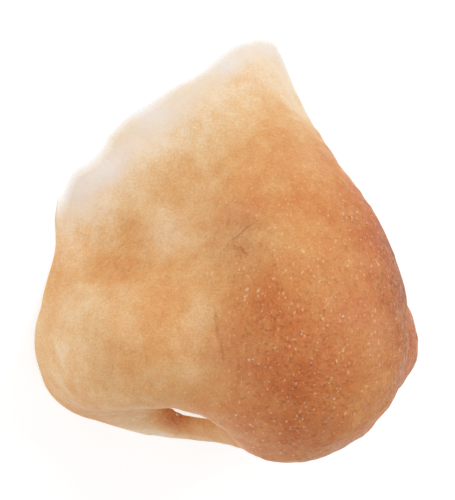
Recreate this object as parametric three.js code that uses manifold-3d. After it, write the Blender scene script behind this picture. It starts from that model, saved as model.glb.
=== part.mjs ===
// A costume nose: one cast latex shell, hollow and open at the back, with two cut nostrils
// and a thin edge all round that is glued to the face.
//
// Millimetres. The nose lies on its open back: +X runs across it, to the wearer's left,
// +Y up from the tip to the root between the eyes, and +Z out of the face.

import * as THREE from "three";
import { mergeVertices } from "three/addons/utils/BufferGeometryUtils.js";
import Module from "manifold-3d";

const wasm = await Module();
wasm.setup();

// Overall sizes of the nose itself, without the glue edge.
const LENGTH = 60; // from under the tip to the top of the bridge
const WIDTH = 62; // over the two wings
const PROJECTION = 37; // from the face to the front of the tip

// The cast wall, and the edge that it runs out to.
const WALL = 2;
const EDGE_THICKNESS = 0.5;
const FEATHER_REACH = 9; // how far in from the rim the wall has its full thickness

// How softly neighbouring forms run into each other.
const FLANK_BLEND = 13; // the bridge into the cheeks, in full from FLANK_TO on, none below FLANK_FROM
const FLANK_FROM = 0.3; // both shares of LENGTH
const FLANK_TO = 0.7;
const FOOT_BLEND = 2; // the wings and the base onto the face
const CREASE_BLEND = 8; // wings, tip, base and bridge into each other

// The nostrils.
const NOSTRIL_LENGTH = 12; // front to back
const NOSTRIL_WIDTH = 9.5; // side to side
const NOSTRIL_TOE_IN = 12; // degrees that the front ends turn to the middle
const NOSTRIL_ACROSS = 9; // from the middle line to the middle of the hole
const NOSTRIL_OUT = 12.5; // from the face to the middle of the hole

// The hollow in the floor of the nose that each of them lies in, pressed with a round.
const SCOOP_ACROSS = 14.4; // from the middle line to the middle of the round
const SCOOP_OUT = 13; // from the face to the middle of the round
const SCOOP_RISE = 6.8; // how far up into the floor it reaches
const SCOOP = { wide: 11.5, tall: 12, deep: 10 }; // its half sizes
const SCOOP_BLEND = 4; // how softly the hollow's lip turns

// The bridge from the root down to the tip, as rounds on one line: up is a share of LENGTH; out,
// the height of the round's centre, and round, its radius, are shares of PROJECTION; spread is
// how much wider than high it is.
const BRIDGE = [
  { up: 0.97, out: -0.42, round: 0.12, spread: 1.1 },
  { up: 0.86, out: -0.17, round: 0.17, spread: 1.1 },
  { up: 0.72, out: 0.13, round: 0.24, spread: 1.1 },
  { up: 0.58, out: 0.38, round: 0.31, spread: 1.1 },
  { up: 0.44, out: 0.54, round: 0.38, spread: 1.05 },
  { up: 0.3, out: 0.58, round: 0.42, spread: 1 },
];
const BRIDGE_RUNS = 24; // straight runs that the line is drawn with

// The lobes: centres and half sizes as shares of half WIDTH, LENGTH and PROJECTION.
// A paired lobe is made on both sides.
const LOBES = [
  { name: "tip", paired: false, across: 0, up: 0.28, out: 0.57, wide: 0.49, tall: 0.28, deep: 0.42 },
  { name: "wing", paired: true, across: 0.61, up: 0.243, out: 0.2, wide: 0.41, tall: 0.2, deep: 0.42 },
  { name: "flanks", paired: false, across: 0, up: 0.44, out: 0, wide: 0.66, tall: 0.32, deep: 0.5 },
  { name: "sill", paired: false, across: 0, up: 0.09, out: 0, wide: 0.5, tall: 0.12, deep: 0.38 },
];

// The rim's outline on the face, every 10 degrees round the hub from the root to the lip:
// right and left are its distances there on the wearer's two sides, as shares of LENGTH.
const RIM = [
  { right: 0.615, left: 0.615 },
  { right: 0.555, left: 0.635 },
  { right: 0.535, left: 0.53 },
  { right: 0.522, left: 0.475 },
  { right: 0.53, left: 0.46 },
  { right: 0.515, left: 0.475 },
  { right: 0.54, left: 0.5 },
  { right: 0.52, left: 0.495 },
  { right: 0.485, left: 0.485 },
  { right: 0.493, left: 0.493 },
  { right: 0.515, left: 0.515 },
  { right: 0.53, left: 0.53 },
  { right: 0.525, left: 0.525 },
  { right: 0.495, left: 0.495 },
  { right: 0.452, left: 0.452 },
  { right: 0.425, left: 0.425 },
  { right: 0.41, left: 0.41 },
  { right: 0.402, left: 0.402 },
  { right: 0.4, left: 0.4 },
];
const HUB_UP = 0.36; // where the hub of those rays sits on the middle line, as a share of LENGTH
const HUB_RISE = 0.3; // how far it climbs for the steeper rays, as a share of PROJECTION

// The mesh.
const GRID_CELLS = 52; // along each side of the square grid that is drawn over the shell
const MERIDIAN_STEPS = 90; // samples from the rim to the crown, on each ray's meridian
const MERIDIAN_BIAS = 2.2; // above 1 crowds them towards the rim
const SOLVER_STEPS = 26;

const across = (share) => (share * WIDTH) / 2;
const up = (share) => share * LENGTH;
const out = (share) => share * PROJECTION;
const hub = new THREE.Vector3(0, up(HUB_UP), 0);
const rayLimit = 2 * Math.max(LENGTH, WIDTH, PROJECTION);

// Smooth union of two distances: the smaller one, rounded where they cross.
function blend(a, b, reach) {
  const near = Math.max(reach - Math.abs(a - b), 0) / reach;
  return Math.min(a, b) - (near * near * reach) / 4;
}

// Distance to an ellipsoid, near its surface.
function toEllipsoid(p, lobe) {
  const x = (p.x - lobe.centre.x) / lobe.size.x;
  const y = (p.y - lobe.centre.y) / lobe.size.y;
  const z = (p.z - lobe.centre.z) / lobe.size.z;
  const length = Math.sqrt(x * x + y * y + z * z);
  const slope = Math.sqrt((x / lobe.size.x) ** 2 + (y / lobe.size.y) ** 2 + (z / lobe.size.z) ** 2);
  return slope > 0 ? (length * (length - 1)) / slope : -lobe.size.z;
}

// Distance to a straight run of the bridge, whose radius and spread change evenly along it.
const along = new THREE.Vector3();
const offset = new THREE.Vector3();
function toBridgeRun(p, from, to) {
  along.subVectors(to.centre, from.centre);
  offset.subVectors(p, from.centre);
  const t = THREE.MathUtils.clamp(offset.dot(along) / along.lengthSq(), 0, 1);
  offset.addScaledVector(along, -t);
  offset.x /= THREE.MathUtils.lerp(from.spread, to.spread, t);
  return offset.length() - THREE.MathUtils.lerp(from.radius, to.radius, t);
}

const bridgeCentres = new THREE.SplineCurve(BRIDGE.map((row) => new THREE.Vector2(up(row.up), out(row.out))));
const bridgeSections = new THREE.SplineCurve(BRIDGE.map((row) => new THREE.Vector2(out(row.round), row.spread)));
const bridgeRounds = Array.from({ length: BRIDGE_RUNS + 1 }, (_, i) => {
  const centre = bridgeCentres.getPoint(i / BRIDGE_RUNS);
  const section = bridgeSections.getPoint(i / BRIDGE_RUNS);
  return { centre: new THREE.Vector3(0, centre.x, centre.y), radius: section.x, spread: section.y };
});
const lobes = LOBES.flatMap((row) =>
  (row.paired ? [-1, 1] : [1]).map((side) => ({
    centre: new THREE.Vector3(side * across(row.across), up(row.up), out(row.out)),
    size: new THREE.Vector3(across(row.wide), up(row.tall), out(row.deep)),
  })),
);

// The rounds that press the hollows of the two nostrils into the floor.
const scoops = [-1, 1].map((side) => ({
  centre: new THREE.Vector3(side * SCOOP_ACROSS, SCOOP_RISE - SCOOP.tall, SCOOP_OUT),
  size: new THREE.Vector3(SCOOP.wide, SCOOP.tall, SCOOP.deep),
}));

// Below zero inside the nose and above zero outside it. The face is a sheet as thick as the edge,
// and the nose runs softly out into it beside the bridge but stands up from it at the wings.
function noseField(p) {
  let nose = Infinity;
  for (let i = 1; i < bridgeRounds.length; i++)
    nose = Math.min(nose, toBridgeRun(p, bridgeRounds[i - 1], bridgeRounds[i]));
  for (const lobe of lobes) nose = blend(nose, toEllipsoid(p, lobe), CREASE_BLEND);
  for (const scoop of scoops) nose = -blend(-nose, toEllipsoid(p, scoop), SCOOP_BLEND);
  const height = THREE.MathUtils.smoothstep(p.y, up(FLANK_FROM), up(FLANK_TO));
  return blend(nose, p.z - EDGE_THICKNESS, THREE.MathUtils.lerp(FOOT_BLEND, FLANK_BLEND, height));
}

// The point where a ray from the hub leaves the nose. The hub climbs with the ray's steepness,
// so that low rays skim the glue edge and high ones see under the tip and into the creases.
function surfacePoint(around, latitude) {
  const start = hub.clone();
  start.z = out(HUB_RISE) * Math.min(1, (2 * latitude) / (Math.PI / 2));
  const ray = new THREE.Vector3(
    Math.sin(around) * Math.cos(latitude),
    Math.cos(around) * Math.cos(latitude),
    Math.sin(latitude),
  );
  let [inside, outside] = [0, rayLimit];
  const p = new THREE.Vector3();
  for (let i = 0; i < SOLVER_STEPS; i++) {
    const middle = (inside + outside) / 2;
    if (noseField(p.copy(start).addScaledVector(ray, middle)) < 0) inside = middle;
    else outside = middle;
  }
  return p.copy(start).addScaledVector(ray, (inside + outside) / 2);
}

// How far the rim lies from the hub in one direction.
const rimCurve = (side) => new THREE.SplineCurve(RIM.map((row, i) => new THREE.Vector2(i, up(row[side]))));
const rimCurves = { right: rimCurve("right"), left: rimCurve("left") };
function rimReach(around) {
  const turned = Math.atan2(Math.sin(around), Math.cos(around));
  return rimCurves[turned < 0 ? "right" : "left"].getPoint(Math.abs(turned) / Math.PI).y;
}

// The surface in one direction, as points from the rim up to the crown.
function meridian(around) {
  const reach = rimReach(around);
  const radiusOf = (point) => Math.hypot(point.x - hub.x, point.y - hub.y);
  const points = [];
  let last = null;
  for (let i = 1; i <= MERIDIAN_STEPS; i++) {
    const latitude = (Math.PI / 2) * (i / MERIDIAN_STEPS) ** MERIDIAN_BIAS;
    const point = surfacePoint(around, latitude);
    if (!points.length && last) {
      const [before, now] = [radiusOf(last), radiusOf(point)];
      if (now <= reach) points.push(last.clone().lerp(point, (before - reach) / (before - now)));
      else if (now > before) points.push(last);
    }
    if (points.length) points.push(point);
    last = point;
  }
  return points;
}

// The point at a share of the way along a line of points, and how far along it that is.
function pointAlong(points, share) {
  const lengths = [0];
  for (let i = 1; i < points.length; i++) lengths.push(lengths[i - 1] + points[i].distanceTo(points[i - 1]));
  const travel = share * lengths[lengths.length - 1];
  const next = Math.max(1, lengths.findIndex((length) => length >= travel));
  const t = (travel - lengths[next - 1]) / (lengths[next] - lengths[next - 1]);
  return { point: points[next - 1].clone().lerp(points[next], t), travel };
}

// Outward normal of the nose's surface, from the field's slope.
const NORMAL_STEP = 0.05;
function normalAt(p) {
  const slope = (axis) => {
    const [ahead, behind] = [p.clone(), p.clone()];
    ahead[axis] += NORMAL_STEP;
    behind[axis] -= NORMAL_STEP;
    return noseField(ahead) - noseField(behind);
  };
  return new THREE.Vector3(slope("x"), slope("y"), slope("z")).normalize();
}

// The square grid laid over the shell: each ring of squares is one distance from the rim, so the cells
// stay even and no corner meets more than four of them.
function gridPoint(column, row) {
  const a = (2 * column) / GRID_CELLS - 1;
  const b = (2 * row) / GRID_CELLS - 1;
  const ring = Math.max(Math.abs(a), Math.abs(b));
  if (ring === 0) return { point: surfacePoint(0, Math.PI / 2), travel: rayLimit };
  const quarter = Math.PI / 4;
  let around = quarter * (b / a);
  if (Math.abs(b) > Math.abs(a)) around = 2 * quarter - quarter * (a / b);
  if (Math.abs(b) > Math.abs(a) ? b < 0 : a < 0) around += Math.PI;
  return pointAlong(meridian(Math.PI / 2 - around), 1 - ring);
}

// Outer skin, inner skin and the strip between them at the rim, as one closed mesh.
function shellGeometry() {
  const side = GRID_CELLS + 1;
  const outer = [];
  const inner = [];
  for (let row = 0; row < side; row++)
    for (let column = 0; column < side; column++) {
      const { point, travel } = gridPoint(column, row);
      const depth = THREE.MathUtils.lerp(EDGE_THICKNESS, WALL, THREE.MathUtils.smoothstep(travel, 0, FEATHER_REACH));
      const under = point.clone().addScaledVector(normalAt(point), -depth);
      const atRim = travel === 0;
      if (atRim) under.set(point.x, point.y, 0);
      under.z = Math.max(under.z, 0);
      outer.push(point);
      inner.push(under);
    }
  const skins = [...outer, ...inner];
  const corner = (column, row, layer) => layer * side * side + row * side + column;
  const triangles = [];
  const quad = (a, b, c, d) => triangles.push(a, b, c, a, c, d);
  // A square is split the short way, but on the grid's two diagonals towards the middle.
  const splitsAcross = (column, row, [a, b, c, d]) => {
    if (column === row) return false;
    return column + row === GRID_CELLS - 1 || a.distanceTo(c) > b.distanceTo(d);
  };
  for (let row = 0; row < GRID_CELLS; row++)
    for (let column = 0; column < GRID_CELLS; column++)
      for (const layer of [0, 1]) {
        const corners = [
          corner(column, row, layer),
          corner(column + 1, row, layer),
          corner(column + 1, row + 1, layer),
          corner(column, row + 1, layer),
        ];
        if (splitsAcross(column, row, corners.map((i) => skins[i]))) corners.push(corners.shift());
        quad(...(layer ? corners.reverse() : corners));
      }
  for (let i = 0; i < GRID_CELLS; i++) {
    const last = GRID_CELLS;
    quad(corner(i, 0, 1), corner(i + 1, 0, 1), corner(i + 1, 0, 0), corner(i, 0, 0));
    quad(corner(last, i, 1), corner(last, i + 1, 1), corner(last, i + 1, 0), corner(last, i, 0));
    quad(corner(i + 1, last, 1), corner(i, last, 1), corner(i, last, 0), corner(i + 1, last, 0));
    quad(corner(0, i + 1, 1), corner(0, i, 1), corner(0, i, 0), corner(0, i + 1, 0));
  }
  const geometry = new THREE.BufferGeometry();
  geometry.setAttribute("position", new THREE.Float32BufferAttribute(skins.flatMap((p) => p.toArray()), 3));
  geometry.setIndex(triangles);
  return geometry;
}

// A closed mesh as a manifold-3d solid, and back.
function toSolid(geometry) {
  const bare = geometry.clone();
  bare.deleteAttribute("normal");
  bare.deleteAttribute("uv");
  const merged = mergeVertices(bare);
  return new wasm.Manifold(
    new wasm.Mesh({
      numProp: 3,
      vertProperties: merged.attributes.position.array,
      triVerts: new Uint32Array(merged.index.array),
    }),
  );
}
function toGeometry(solid) {
  const mesh = solid.getMesh();
  const geometry = new THREE.BufferGeometry();
  geometry.setAttribute("position", new THREE.Float32BufferAttribute(mesh.vertProperties, 3));
  geometry.setIndex(new THREE.BufferAttribute(mesh.triVerts, 1));
  geometry.computeVertexNormals();
  return geometry;
}

// The hole of one nostril, as a bar that runs up through the floor of the nose.
const NOSTRIL_SIDES = 24;
function nostrilBar(side) {
  const outline = new THREE.Shape();
  outline.absellipse(0, 0, NOSTRIL_WIDTH / 2, NOSTRIL_LENGTH / 2, 0, 2 * Math.PI);
  const depth = up(HUB_UP) + WALL;
  const bar = new THREE.ExtrudeGeometry(outline, { depth, bevelEnabled: false, curveSegments: NOSTRIL_SIDES });
  bar.rotateZ((-side * NOSTRIL_TOE_IN * Math.PI) / 180);
  bar.rotateX(-Math.PI / 2);
  bar.translate(side * NOSTRIL_ACROSS, -WALL, NOSTRIL_OUT);
  return bar;
}

let shell = toSolid(shellGeometry());
for (const side of [-1, 1]) shell = shell.subtract(toSolid(nostrilBar(side)));

const latex = new THREE.MeshStandardMaterial({ color: 0xd99c66, roughness: 0.55, metalness: 0 });
const nose = new THREE.Mesh(toGeometry(shell), latex);
nose.name = "nose_shell";

// The origin is under the middle of the nose.
nose.geometry.computeBoundingBox();
const middle = nose.geometry.boundingBox.getCenter(new THREE.Vector3());
nose.geometry.translate(-middle.x, -middle.y, 0);

const part = new THREE.Group();
part.add(nose);
export default part;
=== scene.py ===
# %% [markdown]
# # A latex costume nose
#
# The real object is one soft casting: an oversized nose in foam-like latex, painted with an
# airbrush, that runs out to a thin, milky edge to be glued to the face. It lies on its open
# back. We load its solid model first, so that everything we make lines up with it.

# %% Load the frame
import math

import bmesh
import bpy
import numpy as np
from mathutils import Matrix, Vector
from mathutils.kdtree import KDTree


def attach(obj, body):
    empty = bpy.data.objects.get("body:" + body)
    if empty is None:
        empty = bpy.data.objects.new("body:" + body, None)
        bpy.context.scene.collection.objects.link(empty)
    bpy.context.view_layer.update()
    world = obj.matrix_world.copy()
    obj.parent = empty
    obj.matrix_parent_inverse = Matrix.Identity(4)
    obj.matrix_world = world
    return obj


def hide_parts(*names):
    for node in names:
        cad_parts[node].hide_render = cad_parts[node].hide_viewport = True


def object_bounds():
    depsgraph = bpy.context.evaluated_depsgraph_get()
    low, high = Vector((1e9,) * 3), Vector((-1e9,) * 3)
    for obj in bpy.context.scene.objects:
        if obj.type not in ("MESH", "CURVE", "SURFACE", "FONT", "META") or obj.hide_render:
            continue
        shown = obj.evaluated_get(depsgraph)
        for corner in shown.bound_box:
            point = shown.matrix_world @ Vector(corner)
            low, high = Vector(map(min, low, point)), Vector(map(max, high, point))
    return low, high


MM = 0.001

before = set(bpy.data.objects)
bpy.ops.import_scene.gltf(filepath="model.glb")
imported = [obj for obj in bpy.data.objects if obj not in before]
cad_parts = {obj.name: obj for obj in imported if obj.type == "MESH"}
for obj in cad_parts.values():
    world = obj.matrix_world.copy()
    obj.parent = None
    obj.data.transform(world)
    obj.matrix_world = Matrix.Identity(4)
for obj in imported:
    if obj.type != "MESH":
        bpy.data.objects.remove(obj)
cad_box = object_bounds()
low, high = cad_box
size = high - low
middle = (low + high) / 2
print(f"the nose is {size.x / MM:.1f} x {size.y / MM:.1f} x {size.z / MM:.1f} mm")

# %% [markdown]
# ## Small helpers
#
# Paint colours are easiest to judge on a screen's scale from 0 to 255, but Blender's shaders
# count light, so every colour goes through the same conversion.


# %% A colour from screen values
def screen(red, green, blue):
    def light(value):
        share = value / 255
        return share / 12.92 if share <= 0.04045 else ((share + 0.055) / 1.055) ** 2.4

    return (light(red), light(green), light(blue), 1)


# %% [markdown]
# ## The casting
#
# The model's faces are small flat triangles. A real casting has no facets, so we take a copy,
# merge its loose triangles, join them to four-sided faces, relax the points a little, and let
# a subdivision surface round the rest. Remeshing would be another way, but its even cells
# are as big as the thin edge is thick and would eat it away.

# %% Copy the shell as one welded mesh
WELD = 0.01 * MM
JOIN_ANGLE = math.radians(60)
RELAX_ROUNDS = 8
RELAX_SHARE = 0.5
RIM_HEIGHT = 0.9 * MM

shell = bmesh.new()
shell.from_mesh(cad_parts["nose_shell"].data)
bmesh.ops.remove_doubles(shell, verts=shell.verts, dist=WELD)
bmesh.ops.join_triangles(
    shell,
    faces=shell.faces,
    cmp_seam=False,
    cmp_sharp=False,
    cmp_uvs=False,
    cmp_vcols=False,
    cmp_materials=False,
    angle_face_threshold=JOIN_ANGLE,
    angle_shape_threshold=JOIN_ANGLE,
)
above_rim = [v for v in shell.verts if v.co.z > RIM_HEIGHT]
for _ in range(RELAX_ROUNDS):
    bmesh.ops.smooth_vert(
        shell,
        verts=above_rim,
        factor=RELAX_SHARE,
        use_axis_x=True,
        use_axis_y=True,
        use_axis_z=True,
    )
print(len(shell.verts), "points,", len(shell.faces), "faces after welding")

# %% Round it with a subdivision surface
SUBDIVISIONS = 2

coarse = bpy.data.meshes.new("nose_skin_coarse")
shell.to_mesh(coarse)
shell.free()
nose = bpy.data.objects.new("nose_skin", coarse)
bpy.context.scene.collection.objects.link(nose)
rounding = nose.modifiers.new("rounding", "SUBSURF")
rounding.levels = SUBDIVISIONS
rounding.render_levels = SUBDIVISIONS
bpy.context.view_layer.update()
evaluated = nose.evaluated_get(bpy.context.evaluated_depsgraph_get())
smooth = bpy.data.meshes.new_from_object(evaluated)
nose.modifiers.clear()
nose.data = smooth
for face in smooth.polygons:
    face.use_smooth = True
print(len(smooth.vertices), "points after rounding")

# %% [markdown]
# ## Where the skin is
#
# The paint and the thin edge need to know two things about each point: whether it is on the
# outside, and how far it is from the glue edge. A point is outside if its normal looks away
# from a hub on the middle line, which lies lower than the point and climbs with it. The edge
# is where the outside meets the inside, low down. We measure both once, as arrays.


# %% Outside or inside
def vertex_vectors(name):
    values = np.zeros(len(smooth.vertices) * 3)
    smooth.vertices.foreach_get(name, values)
    return values.reshape(-1, 3)


HUB_ALONG = -7 * MM
HUB_CLIMB = 0.6
HUB_BELOW = 4 * MM

points = vertex_vectors("co")
normals = vertex_vectors("normal")
hub = np.zeros_like(points)
hub[:, 1] = HUB_ALONG
hub[:, 2] = HUB_CLIMB * points[:, 2] - HUB_BELOW
outside = ((points - hub) * normals).sum(axis=1) > 0
print(f"{outside.mean():.0%} of the points are outside")

# %% How far from the edge
EDGE_LEVEL = 1.2 * MM

pairs = np.zeros(len(smooth.edges) * 2, dtype=np.int32)
smooth.edges.foreach_get("vertices", pairs)
pairs = pairs.reshape(-1, 2)
turns = outside[pairs[:, 0]] != outside[pairs[:, 1]]
low_down = points[pairs[:, 0], 2] < EDGE_LEVEL
edge = points[pairs[turns & low_down, 0]]
tree = KDTree(len(edge))
for i, point in enumerate(edge):
    tree.insert(point, i)
tree.balance()
from_edge = np.array([tree.find(point)[2] for point in points])
print(f"{len(edge)} points are on the edge")


# %% Soft steps and stored values
def soft_step(values, start, end):
    share = np.clip((values - start) / (end - start), 0, 1)
    return share * share * (3 - 2 * share)


def store(name, values):
    layer = smooth.attributes.new(name, "FLOAT", "POINT")
    layer.data.foreach_set("value", np.asarray(values, dtype=np.float32))


# %% [markdown]
# ## The airbrush
#
# The maker sprays a warm brown over the pale latex where a real nose is red: over the ball
# of the tip, down the ridge and on top of the wings. The grooves and the root stay pale.
# One brown patch is painted shade instead: it darkens the scooped floor inside the nostril,
# where shade falls.
# Each spray is a soft round patch, so a short table of patches paints the whole nose, and
# each result is stored on the mesh as an attribute that the material can read.
#
# A place is three shares: of half the width across, of half the length up the nose, and of
# the height out of the face. The reach is a share of half the width.


# %% Places and patches
half_width = size.x / 2
half_length = size.y / 2


def spot(shares):
    across, up_nose, out = shares
    return np.array(
        [middle.x + across * half_width, middle.y + up_nose * half_length, out * size.z]
    )


def spray(patches):
    coat = np.zeros(len(points))
    for patch in patches:
        distance = np.linalg.norm(points - spot(patch["at"]), axis=1)
        reach = patch["reach"] * half_width
        coat += patch["amount"] * np.exp(-((distance / reach) ** 2))
    return coat


# %% Brown paint, and the places it leaves pale
BARE = 0.45
BROWN = [
    {"on": "tip", "at": (-0.35, -0.3, 0.86), "reach": 0.32, "amount": 0.18},
    {"on": "under the tip", "at": (-0.26, -0.62, 0.88), "reach": 0.32, "amount": 0.23},
    {"on": "beside the tip", "at": (-0.43, -0.15, 0.76), "reach": 0.16, "amount": 0.17},
    {"on": "right of the ridge", "at": (0.2, 0.06, 0.86), "reach": 0.3, "amount": 0.2},
    {"on": "far flank", "at": (0.4, 0.14, 0.62), "reach": 0.4, "amount": 0.34},
    {"on": "underside", "at": (0.1, -0.9, 0.7), "reach": 0.35, "amount": 0.22},
    {"on": "ridge", "at": (-0.22, 0.36, 0.6), "reach": 0.18, "amount": 0.08},
    {"on": "upper ridge", "at": (0.0, 0.6, 0.42), "reach": 0.2, "amount": 0.16},
    {"on": "near crease", "at": (-0.4, 0.14, 0.62), "reach": 0.16, "amount": 0.05},
    {"on": "near flank", "at": (-0.48, 0.34, 0.22), "reach": 0.13, "amount": 0.22},
    {"on": "near wing bump", "at": (-0.66, -0.02, 0.24), "reach": 0.11, "amount": 0.12},
    {"on": "near wing top", "at": (-0.79, -0.11, 0.22), "reach": 0.14, "amount": 0.22},
    {"on": "near wing arch", "at": (-0.62, 0.1, 0.15), "reach": 0.1, "amount": 0.16},
    {"on": "near wing arch, low", "at": (-0.8, 0.0, 0.06), "reach": 0.09, "amount": 0.04},
    {"on": "near wing", "at": (-0.74, -0.34, 0.53), "reach": 0.16, "amount": 0.11},
    {"on": "far wing", "at": (0.85, -0.36, 0.55), "reach": 0.4, "amount": 0.34},
    {"on": "tip, far side", "at": (0.36, -0.45, 0.88), "reach": 0.26, "amount": 0.2},
    # painted shade: this brown darkens the scooped floor inside the nostril, where shade falls
    {"on": "painted shade in the nostril", "at": (-0.27, -0.86, 0.16), "reach": 0.1, "amount": 0.55},
]
PALE = [
    {"on": "root", "at": (0.0, 0.97, 0.1), "reach": 0.5, "amount": 0.4},
    {"on": "near flank", "at": (-0.56, 0.5, 0.08), "reach": 0.32, "amount": 0.44},
    {"on": "near flank, low", "at": (-0.85, 0.12, 0.03), "reach": 0.25, "amount": 0.36},
    {"on": "near groove", "at": (-0.57, 0.09, 0.3), "reach": 0.16, "amount": 0.2},
    {"on": "near groove, low", "at": (-0.59, -0.24, 0.6), "reach": 0.13, "amount": 0.19},
    {"on": "near groove, foot", "at": (-0.6, -0.45, 0.58), "reach": 0.14, "amount": 0.2},
    {"on": "near wing", "at": (-0.9, -0.27, 0.38), "reach": 0.14, "amount": 0.06},
    {"on": "near wing, side", "at": (-1.0, -0.42, 0.22), "reach": 0.36, "amount": 0.26},
    {"on": "far flank", "at": (0.5, 0.6, 0.08), "reach": 0.34, "amount": 0.34},
    {"on": "far groove", "at": (0.6, 0.14, 0.27), "reach": 0.16, "amount": 0.16},
    {"on": "sill", "at": (-0.3, -0.97, 0.03), "reach": 0.26, "amount": 0.4},
]

paint = np.clip(BARE + spray(BROWN) - spray(PALE), 0, 1)
store("paint", paint)
print(f"the paint runs from {paint.min():.2f} to {paint.max():.2f}")

# %% [markdown]
# A second, weaker colour makes it skin: a dusty rose where blood would show. Dark specks are
# flicked from a brush where the pores of a drinker's nose would be, and fine wrinkles lie
# near the creases, on the ridge and on the tip. All three use the same kind of patches.
# Where the specks lie, the stippled latex also gets painted shade in its hollows and painted
# highlights on its tops.

# %% Rose, specks and wrinkles
ROSE = [
    {"on": "ridge", "at": (0.02, -0.2, 0.97), "reach": 0.24, "amount": 0.22},
    {"on": "far side of the ridge", "at": (0.26, 0.02, 0.86), "reach": 0.3, "amount": 0.2},
    {"on": "near crease", "at": (-0.42, 0.17, 0.55), "reach": 0.13, "amount": 0.22},
    {"on": "beside the tip", "at": (-0.52, -0.42, 0.7), "reach": 0.16, "amount": 0.22},
    {"on": "under the tip", "at": (-0.36, -0.84, 0.62), "reach": 0.2, "amount": 0.4},
    {"on": "near groove", "at": (-0.57, 0.08, 0.32), "reach": 0.1, "amount": 0.2},
    {"on": "upper ridge", "at": (0.14, 0.5, 0.52), "reach": 0.16, "amount": 0.14},
]
SPECKLED = [
    {"on": "far side of the ridge", "at": (0.34, -0.06, 0.86), "reach": 0.26, "amount": 0.9},
    {"on": "far flank", "at": (0.4, 0.16, 0.7), "reach": 0.2, "amount": 0.6},
    {"on": "tip, far side", "at": (0.36, -0.4, 0.86), "reach": 0.2, "amount": 0.6},
    {"on": "near crease", "at": (-0.4, 0.1, 0.6), "reach": 0.2, "amount": 0.3},
    {"on": "tip", "at": (-0.4, -0.3, 0.8), "reach": 0.3, "amount": 0.25},
    {"on": "near wing", "at": (-0.7, -0.05, 0.3), "reach": 0.2, "amount": 0.2},
]
WRINKLED = [
    {"on": "near crease", "at": (-0.4, 0.16, 0.6), "reach": 0.12, "amount": 0.6},
    {"on": "near groove", "at": (-0.54, -0.28, 0.68), "reach": 0.12, "amount": 0.5},
    {"on": "ridge", "at": (0.02, 0.26, 0.76), "reach": 0.16, "amount": 0.6},
    {"on": "near wing arch", "at": (-0.7, 0.04, 0.16), "reach": 0.14, "amount": 0.4},
    {"on": "tip", "at": (-0.2, -0.3, 0.94), "reach": 0.3, "amount": 0.4},
]

for name, patches in (("rose", ROSE), ("wrinkled", WRINKLED), ("speckled", SPECKLED)):
    store(name, np.clip(spray(patches), 0, 1))
    print(len(patches), "patches are", name)

# %% [markdown]
# ## The thin edge
#
# Towards the glue edge the latex gets so thin that it turns milky, and the last two
# millimetres let the ground through. Beside the bridge the edge lies flat on the face and
# shows; under the wings it stands upright and hardly does. The milky band is a little
# narrower at the root.
#
# At the edge the outer skin lies over the inner one, and two fading skins would look grey.
# So the inner one is made clear as soon as the outer one starts to fade. Its value is above
# one, so that the noise that makes the fade uneven can't bring it back.

# %% Store how milky and how clear each point is
MILKY_START = 2 * MM
MILKY_REACH = 7.5 * MM
MILKY_FROM = 0.0
MILKY_TO = 0.25
ROOT_SHARE = 0.85
ROOT_FROM = 0.6
ROOT_TO = 0.9
CLEAR_REACH = 2.2 * MM
INNER_CLEAR = 1.5
INNER_STEP = 0.1
HALF_MILKY = 0.5

along = (points[:, 1] - middle.y) / half_length
beside_bridge = soft_step(along, MILKY_FROM, MILKY_TO)
narrower = 1 - (1 - ROOT_SHARE) * soft_step(along, ROOT_FROM, ROOT_TO)
milky = (1 - soft_step(from_edge / narrower, MILKY_START, MILKY_REACH)) * beside_bridge
clear = (1 - soft_step(from_edge, 0, CLEAR_REACH)) * beside_bridge
inner_skin = INNER_CLEAR * soft_step(clear, 0, INNER_STEP)
store("milky", milky)
store("clear", np.where(outside, clear, inner_skin))
store("inside", np.where(outside, 0, 1 - soft_step(milky, 0, HALF_MILKY)))
print(f"{(milky > HALF_MILKY).mean():.0%} of the skin is milky")
print(f"{(clear > 0).mean():.0%} lets light through")

# %% [markdown]
# ## Creases
#
# Where the sculptor pressed the clay, short fine folds stay in the rubber. They are hardly
# wider than the mesh's faces, so the material draws them, as lines between two places: a dent
# in the bump and painted shade in the colour. A line's width says how far to each side it
# fades, in millimetres. Here we work out what the material needs: where each line starts, how
# far along it a point is, and which way is aside from it along the skin.

# %% Work out the creases
CREASES = [
    {"from": (-0.44, 0.11, 0.58), "to": (-0.36, 0.22, 0.62), "width": 0.3, "depth": 0.9},
    {"from": (-0.43, 0.1, 0.61), "to": (-0.42, 0.07, 0.66), "width": 0.28, "depth": 0.8},
    {"from": (-0.44, 0.16, 0.54), "to": (-0.4, 0.24, 0.51), "width": 0.4, "depth": 0.5},
    {"from": (-0.37, 0.17, 0.65), "to": (-0.34, 0.23, 0.64), "width": 0.25, "depth": 0.4},
    {"from": (-0.54, -0.17, 0.63), "to": (-0.54, -0.33, 0.68), "width": 0.35, "depth": 0.5},
    {"from": (-0.54, -0.3, 0.68), "to": (-0.52, -0.44, 0.71), "width": 0.3, "depth": 0.6},
    {"from": (-0.49, -0.36, 0.75), "to": (-0.47, -0.52, 0.75), "width": 0.3, "depth": 0.5},
]
CREASE_MARGIN = 1.5 * MM
ZONE_FADE = 1.5
IN_A_ZONE = 0.2

creased = np.zeros(len(points))
for crease in CREASES:
    start = spot(crease["from"])
    run = spot(crease["to"]) - start
    length = np.linalg.norm(run)
    from_middle = np.linalg.norm(points - start - run / 2, axis=1)
    aside = np.cross(run, normals[from_middle.argmin()])
    crease["start"] = start
    crease["share"] = run / length**2
    crease["aside"] = aside / np.linalg.norm(aside)
    reach = length / 2 + CREASE_MARGIN
    creased = np.maximum(creased, 1 - soft_step(from_middle, reach, ZONE_FADE * reach))
store("creased", np.where(outside, creased, 0))
print(f"{len(CREASES)} creases, {(creased > IN_A_ZONE).sum()} points are near one")
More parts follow.
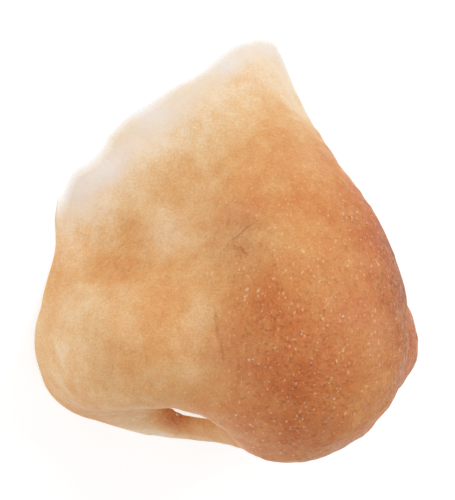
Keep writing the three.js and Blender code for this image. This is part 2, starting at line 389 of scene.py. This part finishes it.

# %% [markdown]
# ## The latex
#
# One material carries the whole look, from the ground up: a ramp turns the amount of paint
# into colour, noise breaks it into the blotches of a sponge, small specks and creases sit on
# top, and the milky edge and the bare inside are mixed in last. Pores and fine lines are
# bump and colour only, because they are about as small as the mesh's faces, and that colour
# is painted shade in their hollows. Some subsurface scattering makes it rubbery. A fading
# copy of this material will cover the thin edge.

# %% Start the material
latex = bpy.data.materials.new("painted_latex")
latex.use_nodes = True
nodes = latex.node_tree.nodes
links = latex.node_tree.links
nodes.clear()
output = nodes.new("ShaderNodeOutputMaterial")
shader = nodes.new("ShaderNodeBsdfPrincipled")
links.new(shader.outputs["BSDF"], output.inputs["Surface"])
place = nodes.new("ShaderNodeTexCoord")


# %% Patterns and stored values
def join(source, target):
    links.new(source, target)


def noise(scale, detail, roughness=0.5, where=None):
    node = nodes.new("ShaderNodeTexNoise")
    node.inputs["Scale"].default_value = scale
    node.inputs["Detail"].default_value = detail
    node.inputs["Roughness"].default_value = roughness
    join(where or place.outputs["Object"], node.inputs["Vector"])
    return node.outputs["Fac"]


def cells(scale, where):
    node = nodes.new("ShaderNodeTexVoronoi")
    node.inputs["Scale"].default_value = scale
    join(where, node.inputs["Vector"])
    return node.outputs["Distance"]


def stored(name):
    node = nodes.new("ShaderNodeAttribute")
    node.attribute_name = name
    return node.outputs["Fac"]


# %% [markdown]
# The rest is arithmetic on those patterns. One helper maps a range of values to another, and
# holds what lies outside it at the range's ends. Others add, multiply or take the larger of
# two values, and one lays a colour over another. A Mix node has sockets for each kind of
# data, so its colour sockets are found by number.


# %% Arithmetic with nodes
def spread(value, found, wanted):
    node = nodes.new("ShaderNodeMapRange")
    join(value, node.inputs["Value"])
    node.inputs["From Min"].default_value = found[0]
    node.inputs["From Max"].default_value = found[1]
    node.inputs["To Min"].default_value = wanted[0]
    node.inputs["To Max"].default_value = wanted[1]
    return node.outputs["Result"]


def sums(operation, first, second):
    node = nodes.new("ShaderNodeMath")
    node.operation = operation
    for value, socket in zip((first, second), node.inputs):
        if isinstance(value, (int, float)):
            socket.default_value = value
        else:
            join(value, socket)
    return node.outputs["Value"]


def plus(first, second):
    return sums("ADD", first, second)


def times(first, second):
    return sums("MULTIPLY", first, second)


def larger(first, second):
    return sums("MAXIMUM", first, second)


def vector(operation, first, second):
    node = nodes.new("ShaderNodeVectorMath")
    node.operation = operation
    join(first, node.inputs[0])
    node.inputs[1].default_value = second
    return node.outputs["Value" if operation == "DOT_PRODUCT" else "Vector"]


MIX_UNDER = 6
MIX_TOP = 7
MIX_RESULT = 2


def over(share, under, top):
    node = nodes.new("ShaderNodeMix")
    node.data_type = "RGBA"
    join(share, node.inputs["Factor"])
    for colour, number in ((under, MIX_UNDER), (top, MIX_TOP)):
        if isinstance(colour, tuple):
            node.inputs[number].default_value = colour
        else:
            join(colour, node.inputs[number])
    return node.outputs[MIX_RESULT]


# %% [markdown]
# No two pores have the same outline, so patterns of cells are read from warped coordinates.
# Some marks run along the nose, and their coordinates are stretched that way too. Fine folds
# are longer still and slanted, so a third set of coordinates is turned and stretched more.

# %% Warped coordinates for pores and lines
WARP = 0.9 * MM
WARP_SCALE = 900
WARP_DETAIL = 2
STRETCH = 0.6
FOLD_TURN = math.radians(-36)
FOLD_LENGTH = 2.9

warp = nodes.new("ShaderNodeTexNoise")
warp.inputs["Scale"].default_value = WARP_SCALE
warp.inputs["Detail"].default_value = WARP_DETAIL
join(place.outputs["Object"], warp.inputs["Vector"])


def shifted(distance):
    node = nodes.new("ShaderNodeVectorMath")
    node.operation = "MULTIPLY_ADD"
    node.inputs[1].default_value = (distance, distance, distance)
    join(warp.outputs["Color"], node.inputs[0])
    join(place.outputs["Object"], node.inputs[2])
    return node.outputs["Vector"]


warped = shifted(WARP)
lengthwise = nodes.new("ShaderNodeMapping")
lengthwise.inputs["Scale"].default_value = (1, STRETCH, 1)
join(warped, lengthwise.inputs["Vector"])
stretched = lengthwise.outputs["Vector"]
slanted = nodes.new("ShaderNodeMapping")
slanted.vector_type = "TEXTURE"
slanted.inputs["Rotation"].default_value = (0, 0, FOLD_TURN)
slanted.inputs["Scale"].default_value = (1, FOLD_LENGTH, 1)
join(warped, slanted.inputs["Vector"])
folded = slanted.outputs["Vector"]

# %% Lines for the creases
WAVER = 0.5 * MM
FADING_END = 0.3

wavering = shifted(WAVER)


def crease_lines():
    deepest = None
    for crease in CREASES:
        away = vector("SUBTRACT", wavering, crease["start"])
        aside = sums("ABSOLUTE", vector("DOT_PRODUCT", away, crease["aside"]), 0)
        share = vector("DOT_PRODUCT", away, crease["share"])
        line = spread(aside, (0, crease["width"] * MM), (crease["depth"], 0))
        start = spread(share, (0, FADING_END), (0, 1))
        end = spread(share, (1 - FADING_END, 1), (1, 0))
        line = times(line, times(start, end))
        deepest = larger(deepest, line) if deepest else line
    return deepest


# %% [markdown]
# Noise hardly leaves the middle of its range, so it is spread from there: from 0.3 to 0.7,
# or from 0.35 to 0.65 where more of it should reach the ends.

# %% The airbrushed colour
WIDE_NOISE = (0.3, 0.7)
NARROW_NOISE = (0.35, 0.65)
BLOTCHES = (-0.09, 0.09)
MOTTLE = (-0.07, 0.07)
GRAIN = (-0.1, 0.1)
STOPS = [
    {"at": 0.0, "colour": screen(238, 218, 190)},
    {"at": 0.2, "colour": screen(231, 194, 146)},
    {"at": 0.4, "colour": screen(222, 167, 108)},
    {"at": 0.6, "colour": screen(214, 142, 81)},
    {"at": 0.8, "colour": screen(205, 116, 60)},
    {"at": 1.0, "colour": screen(182, 92, 38)},
]
DUSTY_ROSE = screen(208, 132, 104)

blotches = spread(noise(scale=150, detail=4, roughness=0.55), WIDE_NOISE, BLOTCHES)
mottle = spread(noise(scale=480, detail=3, roughness=0.6, where=stretched), WIDE_NOISE, MOTTLE)
grain = spread(noise(scale=3600, detail=2, roughness=0.7), WIDE_NOISE, GRAIN)
coat = plus(plus(stored("paint"), blotches), plus(mottle, grain))

ramp = nodes.new("ShaderNodeValToRGB")
join(coat, ramp.inputs["Fac"])
while len(ramp.color_ramp.elements) < len(STOPS):
    ramp.color_ramp.elements.new(0.5)
for element, stop in zip(ramp.color_ramp.elements, STOPS):
    element.position = stop["at"]
    element.color = stop["colour"]
rosy = times(stored("rose"), spread(noise(scale=260, detail=3), NARROW_NOISE, (0.4, 1.3)))
skin_colour = over(rosy, ramp.outputs["Color"], DUSTY_ROSE)
print(len(STOPS), "stops from bare latex to the darkest brown")

# %% Pores, wrinkles and creases, with painted shade in their hollows
# painted shade: these three browns darken pores, folds and creases where shade falls in them
PORE_SHADE_BROWN = screen(172, 92, 50)
WRINKLE_SHADE_BROWN = screen(186, 108, 54)
CREASE_SHADE_BROWN = screen(184, 108, 48)
CREASE_SHADE = 0.75

pitted = larger(spread(stored("paint"), (0.48, 0.8), (0.08, 0.9)), stored("speckled"))
pore_cells = cells(scale=1250, where=warped)
# painted shade: darker at the middle of each pore, where the bump below sinks in
pore_shade = times(spread(pore_cells, (0.05, 0.4), (0.4, 0)), pitted)
skin_colour = over(pore_shade, skin_colour, PORE_SHADE_BROWN)

wrinkles = noise(scale=1000, detail=3, where=folded)
# painted shade: the colour darkens in the low parts of the folds, where the bump below sinks
# in
wrinkle_shade = times(spread(wrinkles, (0.36, 0.48), (0.32, 0)), stored("wrinkled"))
skin_colour = over(wrinkle_shade, skin_colour, WRINKLE_SHADE_BROWN)
creased_depth = times(crease_lines(), stored("creased"))
# painted shade: the crease lines darken the colour where the bump below dents them
skin_colour = over(times(creased_depth, CREASE_SHADE), skin_colour, CREASE_SHADE_BROWN)
print(len(nodes), "nodes so far")

# %% Dark specks, small and wide
SMALL_DOT = screen(146, 84, 50)
WIDE_DOT = screen(134, 80, 70)

dark_dots = spread(cells(scale=1150, where=stretched), (0.1, 0.26), (1, 0))
dot_share = times(pitted, spread(noise(scale=420, detail=2), (0.38, 0.55), (0.05, 0.45)))
skin_colour = over(times(dark_dots, dot_share), skin_colour, SMALL_DOT)
wide_dots = spread(cells(scale=780, where=stretched), (0.12, 0.3), (1, 0))
wide_patches = stored("speckled")
wide_share = times(wide_patches, spread(noise(scale=300, detail=2), (0.42, 0.55), (0.1, 0.75)))
skin_colour = over(times(wide_dots, wide_share), skin_colour, WIDE_DOT)

# %% [markdown]
# The far side of the ridge was stippled most, so its hollows get painted shade and its raised
# tops a painted highlight. Last come the glints: small pale dots where the raised latex
# catches the light, gathered in patches, and finer ones that lie nearly everywhere and show
# most in the brown paint.

# %% Painted shade in hollows, painted highlights on tops, and glints
# the first two colours are painted shade for hollows and a painted highlight for raised tops
HOLLOW_SHADE_BROWN = screen(160, 92, 62)
TOP_HIGHLIGHT_CREAM = screen(232, 178, 140)
FINE_GLINT = screen(244, 204, 164)
WIDE_GLINT = screen(252, 230, 198)
PITTED_ROUGHNESS = 0.35
SPECKLED_GLINTS = 0.15

stipple = noise(scale=1000, detail=3, roughness=0.7, where=warped)
stippled = larger(stored("speckled"), times(pitted, PITTED_ROUGHNESS))
# painted shade in the stipple's hollows and painted highlights on its raised tops, following
# the bump
hollow_shade = times(spread(stipple, (0.34, 0.46), (0.6, 0)), stippled)
skin_colour = over(hollow_shade, skin_colour, HOLLOW_SHADE_BROWN)
top_highlights = times(spread(stipple, (0.54, 0.68), (0, 0.6)), stippled)
skin_colour = over(top_highlights, skin_colour, TOP_HIGHLIGHT_CREAM)

brown_share = spread(stored("paint"), NARROW_NOISE, (0.25, 1))
fine_cells = cells(scale=1500, where=stretched)
fine_cells = plus(fine_cells, spread(noise(scale=900, detail=2), NARROW_NOISE, (0.12, -0.05)))
fine_glints = times(spread(fine_cells, (0.08, 0.28), (0.65, 0)), brown_share)
skin_colour = over(fine_glints, skin_colour, FINE_GLINT)
glint_cells = cells(scale=640, where=warped)
glint_cells = plus(glint_cells, spread(noise(scale=650, detail=2), NARROW_NOISE, (0.1, -0.04)))
glint_noise = noise(scale=260, detail=2)
glint_noise = plus(glint_noise, times(stored("speckled"), SPECKLED_GLINTS))
glint_patches = spread(glint_noise, (0.46, 0.62), (0, 0.85))
glint_share = times(glint_patches, brown_share)
glints = times(spread(glint_cells, (0.06, 0.16), (1, 0)), glint_share)
skin_colour = over(glints, skin_colour, WIDE_GLINT)

# %% The milky edge and the bare inside
MILK_COOL = screen(234, 226, 218)
MILK_WARM = screen(233, 216, 193)
INSIDE_TAN = screen(226, 184, 140)
RAGGED = (-0.2, 0.2)

ragged = plus(stored("milky"), spread(noise(scale=150, detail=3), WIDE_NOISE, RAGGED))
ragged = times(ragged, spread(stored("milky"), (0, 0.2), (0, 1)))
milk = spread(ragged, (0.15, 0.9), (0, 0.95))
milk_colour = over(
    spread(noise(scale=110, detail=4), NARROW_NOISE, (0, 1)), MILK_COOL, MILK_WARM
)
skin_colour = over(milk, skin_colour, milk_colour)
skin_colour = over(stored("inside"), skin_colour, INSIDE_TAN)
join(skin_colour, shader.inputs["Base Color"])
print(len(nodes), "nodes make the colour")

# %% Relief
PORE_DEPTH = 0.8
WRINKLE_DEPTH = 1.1
CREASE_DEPTH = 0.55
GLINT_HEIGHT = 0.6
STIPPLE_DEPTH = 5
BUMP_DISTANCE = 0.38 * MM

pores = times(spread(pore_cells, (0, 0.5), (0, PORE_DEPTH)), pitted)
folds = times(spread(wrinkles, WIDE_NOISE, (0, WRINKLE_DEPTH)), stored("wrinkled"))
lumps = noise(scale=420, detail=4, roughness=0.6, where=stretched)
lumps = times(lumps, spread(stored("paint"), (0.3, 0.7), (0.4, 1)))
raised = plus(plus(pores, folds), plus(lumps, times(glints, GLINT_HEIGHT)))
rough = times(stipple, times(stippled, STIPPLE_DEPTH))
relief = sums("SUBTRACT", plus(raised, rough), times(creased_depth, CREASE_DEPTH))
bump = nodes.new("ShaderNodeBump")
bump.inputs["Strength"].default_value = 1.0
bump.inputs["Distance"].default_value = BUMP_DISTANCE
join(relief, bump.inputs["Height"])
join(bump.outputs["Normal"], shader.inputs["Normal"])

# %% Shine and softness
SHINE = (0.34, 0.56)
SPECULAR = 0.22
SCATTER = 0.3
SCATTER_COLOURS = (1.0, 0.5, 0.3)
SCATTER_REACH = 1.6 * MM

join(spread(noise(scale=700, detail=3), WIDE_NOISE, SHINE), shader.inputs["Roughness"])
shader.inputs["Specular IOR Level"].default_value = SPECULAR
shader.inputs["Subsurface Weight"].default_value = SCATTER
shader.inputs["Subsurface Radius"].default_value = SCATTER_COLOURS
shader.inputs["Subsurface Scale"].default_value = SCATTER_REACH
smooth.materials.clear()
smooth.materials.append(latex)
print(len(nodes), "nodes in the latex")

# %% [markdown]
# ## The see-through edge
#
# Only the last two millimetres are see-through, so only their faces get the second material:
# the same latex with a fading alpha. Keeping it off the rest keeps the nose solid in programs
# that sort see-through surfaces.

# %% The same latex, thinner
LEAST_SEEN = 0.0
UNEVEN_FADE = (0.8, 1.2)

thin = latex.copy()
thin.name = "thin_latex"
nodes = thin.node_tree.nodes
links = thin.node_tree.links
place = nodes[place.name]
fade = times(stored("clear"), spread(noise(scale=120, detail=1), WIDE_NOISE, UNEVEN_FADE))
join(spread(fade, (0, 1), (1, LEAST_SEEN)), nodes[shader.name].inputs["Alpha"])
smooth.materials.append(thin)
lets_through = clear > 0
for face in smooth.polygons:
    if lets_through[list(face.vertices)].any():
        face.material_index = 1
print(sum(face.material_index for face in smooth.polygons), "faces on the thin edge")

# %% [markdown]
# ## Uneven by hand
#
# A casting is never as even as a formula. Two gentle displacements, one of soft dents and one
# of smaller ones, break up the outside; the thin edge and the inside are left out of it.

# %% Displace the outside
DENTS_FROM = 1 * MM
DENTS_FULL = 6 * MM
DENT_DETAIL = 2
DENT_MIDDLE = 0.5

cover = nose.vertex_groups.new(name="outer_skin")
weights = np.where(outside, soft_step(from_edge, DENTS_FROM, DENTS_FULL), 0)
for i, weight in enumerate(weights):
    if weight > 0:
        cover.add([i], float(weight), "REPLACE")


def unevenness(name, width, depth):
    pattern = bpy.data.textures.new(name, "CLOUDS")
    pattern.noise_scale = width
    pattern.noise_depth = DENT_DETAIL
    press = nose.modifiers.new(name, "DISPLACE")
    press.texture = pattern
    press.texture_coords = "LOCAL"
    press.vertex_group = cover.name
    press.strength = depth
    press.mid_level = DENT_MIDDLE


unevenness("soft_dents", width=7 * MM, depth=0.9 * MM)
unevenness("small_dents", width=2.2 * MM, depth=0.3 * MM)

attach(nose, "root")
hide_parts("nose_shell")
print(f"{(weights > 0).sum()} points can be dented")

# %% [markdown]
# ## Floor, light and camera
#
# The photograph is a catalogue picture: a white ground, a broad soft light from above, and a
# long lens that looks at the nose as it would be worn, turned to its side.

# %% The floor
FLOOR_SIZE = 3.0
FLOOR_GREY = screen(165, 165, 165)
FLOOR_ROUGHNESS = 0.9
FLOOR_GLOW = 0.74
WHITE = (1, 1, 1, 1)

ground = bmesh.new()
bmesh.ops.create_grid(ground, x_segments=1, y_segments=1, size=FLOOR_SIZE / 2)
floor_mesh = bpy.data.meshes.new("floor")
ground.to_mesh(floor_mesh)
ground.free()
floor = bpy.data.objects.new("floor", floor_mesh)
bpy.context.scene.collection.objects.link(floor)
paper = bpy.data.materials.new("floor_paper")
paper.use_nodes = True
board = paper.node_tree.nodes["Principled BSDF"]
board.inputs["Base Color"].default_value = FLOOR_GREY
board.inputs["Roughness"].default_value = FLOOR_ROUGHNESS
board.inputs["Emission Color"].default_value = WHITE
board.inputs["Emission Strength"].default_value = FLOOR_GLOW
floor_mesh.materials.append(paper)
print(f"the floor is {FLOOR_SIZE} m wide")

# %% [markdown]
# The camera stands to the wearer's right, a little above the nose's own level, and is turned
# about its own axis. The picture shows the target at a chosen pixel, which shifts the lens.

# %% Where the camera looks from
AROUND = math.radians(40)
ABOVE = math.radians(8)
TURN = math.radians(7)
DISTANCE = 450 * MM
target = Vector((0, 0.9 * MM, 19 * MM))

back = Vector(
    (-math.sin(AROUND) * math.cos(ABOVE), math.sin(ABOVE), math.cos(AROUND) * math.cos(ABOVE))
)
right = Vector((0, 1, 0)).cross(back).normalized()
up = back.cross(right)
turned_right = math.cos(TURN) * right + math.sin(TURN) * up
turned_up = back.cross(turned_right)
pose = back.to_track_quat("Z", "Y").to_matrix()
pose.col[0] = turned_right
pose.col[1] = turned_up
pose.col[2] = back

# %% The camera
PICTURE_WIDTH = 455
PICTURE_HEIGHT = 500
CENTRE_X = 292
CENTRE_Y = 254
PIXEL = 0.145 * MM
SENSOR = 36
NEAREST = 10 * MM
FARTHEST = 20

lens = bpy.data.cameras.new("camera")
camera = bpy.data.objects.new("camera", lens)
bpy.context.scene.collection.objects.link(camera)
lens.sensor_width = SENSOR
lens.lens = SENSOR * DISTANCE / (PIXEL * PICTURE_HEIGHT)
lens.shift_x = (PICTURE_WIDTH / 2 - CENTRE_X) / PICTURE_HEIGHT
lens.shift_y = (CENTRE_Y - PICTURE_HEIGHT / 2) / PICTURE_HEIGHT
lens.clip_start = NEAREST
lens.clip_end = FARTHEST
camera.rotation_mode = "QUATERNION"
camera.rotation_quaternion = pose.to_quaternion()
camera.location = target + back * DISTANCE
bpy.context.scene.camera = camera
print(f"a {lens.lens:.0f} mm lens, {DISTANCE / MM:.0f} mm away")


# %% The lights
def soft_light(name, at, across, power):
    lamp = bpy.data.lights.new(name, "AREA")
    lamp.size = across
    lamp.energy = power
    holder = bpy.data.objects.new(name, lamp)
    holder.location = at
    holder.rotation_mode = "QUATERNION"
    holder.rotation_quaternion = (Vector(at) - target).to_track_quat("Z", "Y")
    bpy.context.scene.collection.objects.link(holder)


SKY_STRENGTH = 0.58

soft_light("key", at=(0.25, 0.42, 0.58), across=0.3, power=2.0)
soft_light("fill", at=(-0.55, 0.15, 0.45), across=0.6, power=1.0)

sky = bpy.data.worlds.new("studio")
sky.use_nodes = True
background = sky.node_tree.nodes["Background"]
background.inputs["Color"].default_value = WHITE
background.inputs["Strength"].default_value = SKY_STRENGTH
bpy.context.scene.world = sky
bpy.context.scene.view_settings.view_transform = "Standard"
print(len(bpy.data.lights), "lights and a white sky")
